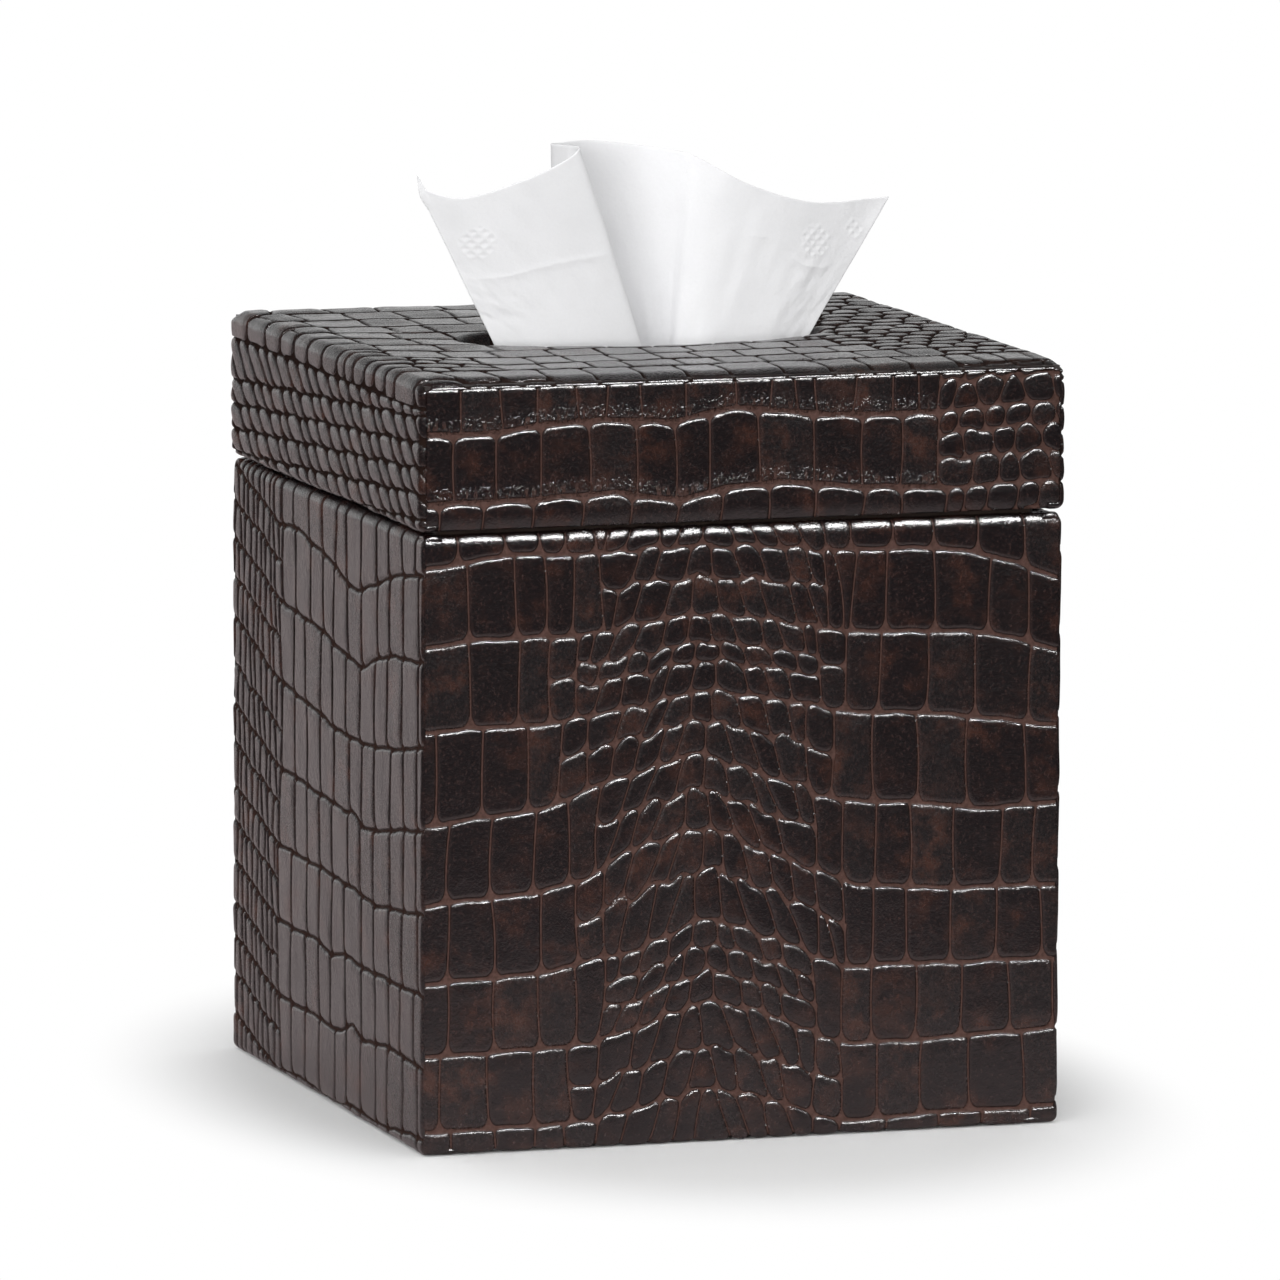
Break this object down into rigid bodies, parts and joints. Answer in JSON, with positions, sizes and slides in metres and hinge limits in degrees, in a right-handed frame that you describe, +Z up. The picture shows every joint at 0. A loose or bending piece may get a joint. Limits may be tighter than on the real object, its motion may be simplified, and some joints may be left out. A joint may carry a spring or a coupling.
{
  "type": "tissue box cover",
  "caption": "Square leather-covered box for a cube tissue carton, with a lift-off lid on an inner collar and an oval dispensing opening.",
  "frame": {"origin": "middle of the underside, on the surface that the cover stands on", "axes": "+Z up, -Y towards the front, +X to the right seen from the front; both slides run along +Z"},
  "size_m": [0.133, 0.133, 0.1911],
  "materials": {
    "leather": "satin-gloss scale embossing, near-black brown with lighter brown grooves",
    "board": "raw compressed board",
    "suede": "matt suede",
    "felt": "matt felt",
    "carton": "uncoated white card",
    "tissue": "soft matt paper"
  },
  "bodies": {
    "body": {"body_wall_front": "board", "body_wall_back": "board", "body_wall_left": "board", "body_wall_right": "board", "base_board": "board", "base_pad": "felt", "body_leather_front": "leather", "body_leather_back": "leather", "body_leather_left": "leather", "body_leather_right": "leather", "collar_board_front": "board", "collar_board_back": "board", "collar_board_left": "board", "collar_board_right": "board", "collar_suede": "suede", "floor_suede": "suede", "carton_walls": "carton", "carton_top": "carton", "tissue_stack": "tissue"},
    "lid": {"lid_top_board": "board", "lid_wall_front": "board", "lid_wall_back": "board", "lid_wall_left": "board", "lid_wall_right": "board", "lid_lining_top": "suede", "lid_lining_front": "suede", "lid_lining_back": "suede", "lid_lining_left": "suede", "lid_lining_right": "suede", "lid_leather_wrap": "leather", "lid_leather_front": "leather", "lid_leather_back": "leather"},
    "sheet": {"popup_tissue": "tissue"}
  },
  "joints": [
    {"name": "lid_lift", "type": "slide", "parent": "body", "child": "lid", "axis": [0, 0, 1], "range_m": [0, 0.06]},
    {"name": "tissue_pull", "type": "slide", "parent": "lid", "child": "sheet", "axis": [0, 0, 1], "range_m": [0, 0.045]}
  ]
}
